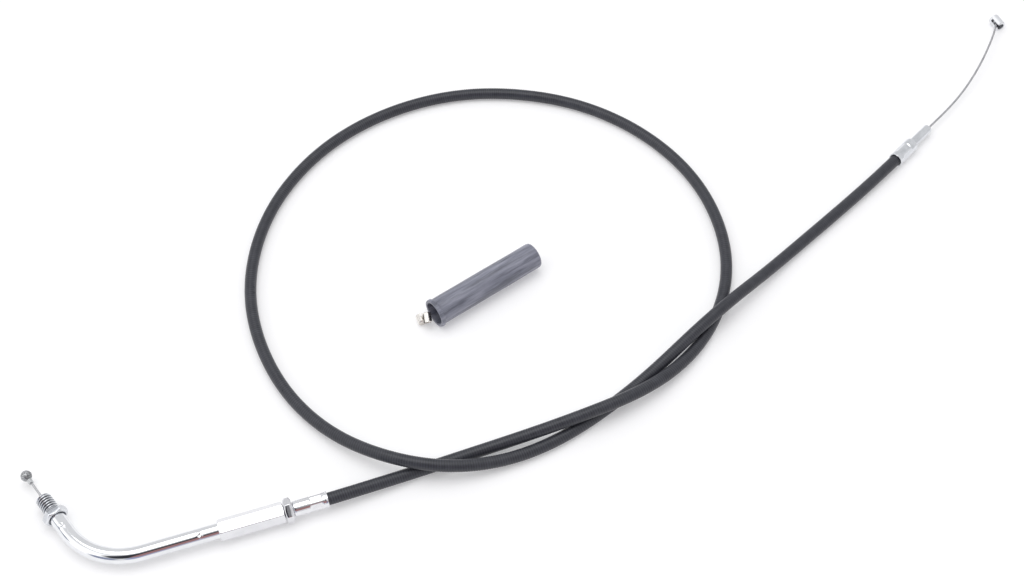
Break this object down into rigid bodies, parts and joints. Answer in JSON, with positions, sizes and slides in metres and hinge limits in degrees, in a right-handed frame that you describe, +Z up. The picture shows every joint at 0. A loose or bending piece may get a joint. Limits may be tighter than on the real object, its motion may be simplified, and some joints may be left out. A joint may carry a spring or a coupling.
{
  "type": "motorcycle throttle cable",
  "caption": "Throttle cable: looped black sheath, bent threaded elbow with hexagonal adjuster, end ferrule, bare wire with slotted barrel, loose rubber boot.",
  "frame": {"origin": "centre of the rigid pieces' box, on the surface the cable lies on", "axes": "+X from the elbow's end towards the barrel's end, +Z up from the surface the cable lies on"},
  "size_m": [0.5392, 0.3678, 0.016],
  "materials": {
    "vinyl_sheath": "black satin vinyl with fine cross ribs",
    "conduit_steel": "close-wound flat spring steel",
    "liner_plastic": "waxy natural polymer",
    "wire_steel": "stranded bright steel wire",
    "tube_chrome": "mirror chrome on a bent tube",
    "sleeve_chrome": "bright chrome with softened corners",
    "nut_chrome": "chrome with darker machined faces",
    "stud_chrome": "chrome, crimped",
    "spigot_brass": "turned brass, hidden",
    "fitting_zinc": "bright zinc plate over turned steel",
    "cast_end": "rough cast grey alloy",
    "collar_steel": "dull crimped steel",
    "ferrule_alloy": "matte light grey plated alloy",
    "barrel_alloy": "matte grey plated alloy with bright edges",
    "boot_rubber": "black moulded rubber",
    "spare_nickel": "warm nickel plate"
  },
  "bodies": {
    "cable": {"outer_jacket": "vinyl_sheath", "coil_conduit": "conduit_steel", "sheath_liner": "liner_plastic", "wire_sheath_run": "wire_steel", "adjuster_stud": "stud_chrome", "end_ferrule": "ferrule_alloy"},
    "elbow": {"elbow_tube": "tube_chrome", "elbow_liner": "liner_plastic", "wire_elbow_run": "wire_steel", "sleeve_spigot": "spigot_brass", "fitting_spigot": "spigot_brass"},
    "adjuster": {"adjuster_sleeve": "sleeve_chrome"},
    "lock_nut": {"jam_nut": "nut_chrome"},
    "swivel": {"threaded_fitting": "fitting_zinc"},
    "hand_wire": {"wire_throttle_end": "wire_steel", "ball_collar": "collar_steel", "throttle_ball": "cast_end"},
    "carb_wire": {"wire_carb_end": "wire_steel", "barrel_ball": "collar_steel"},
    "barrel": {"carb_barrel": "barrel_alloy"},
    "boot": {"adjuster_boot": "boot_rubber"},
    "spares": {"spare_ferrules": "spare_nickel"}
  },
  "joints": [
    {"name": "adjuster_slide", "type": "slide", "parent": "cable", "child": "elbow", "axis": [-0.9487, -0.3162, 0], "range_m": [0, 0.01088]},
    {"name": "sleeve_turn", "type": "hinge", "parent": "elbow", "child": "adjuster", "pos_m": [-0.15448, -0.16158, 0.0064], "axis": [-0.9487, -0.3162, 0], "range_deg": [0, 4320]},
    {"name": "nut_turn", "type": "hinge", "parent": "elbow", "child": "lock_nut", "pos_m": [-0.13693, -0.15573, 0.0064], "axis": [-0.9487, -0.3162, 0], "range_deg": [0, 4320]},
    {"name": "fitting_swivel", "type": "hinge", "parent": "elbow", "child": "swivel", "pos_m": [-0.25202, -0.15474, 0.0064], "axis": [-0.6361, 0.7716, 0], "continuous": true},
    {"name": "throttle_pull", "type": "slide", "parent": "elbow", "child": "hand_wire", "axis": [-0.6361, 0.7716, 0], "range_m": [0, 0.02]},
    {"name": "carb_pull", "type": "slide", "parent": "cable", "child": "carb_wire", "axis": [-0.6805, -0.7328, 0], "range_m": [0, 0.02]},
    {"name": "barrel_swing", "type": "hinge", "parent": "carb_wire", "child": "barrel", "pos_m": [0.26482, 0.18019, 0.0032], "axis": [-0.438, -0.1814, -0.8805], "range_deg": [-50, 40]},
    {"name": "boot_lift", "type": "slide", "parent": "cable", "child": "boot", "axis": [0, 0, 1], "range_m": [0, 0.04]},
    {"name": "spares_lift", "type": "slide", "parent": "cable", "child": "spares", "axis": [0, 0, 1], "range_m": [0, 0.04]}
  ],
  "couplings": [
    {"joint": "sleeve_turn", "follows": "adjuster_slide", "rad_per_m": 6926.3},
    {"joint": "nut_turn", "follows": "adjuster_slide", "rad_per_m": 6926.3},
    {"joint": "carb_pull", "follows": "throttle_pull", "ratio": 1}
  ]
}
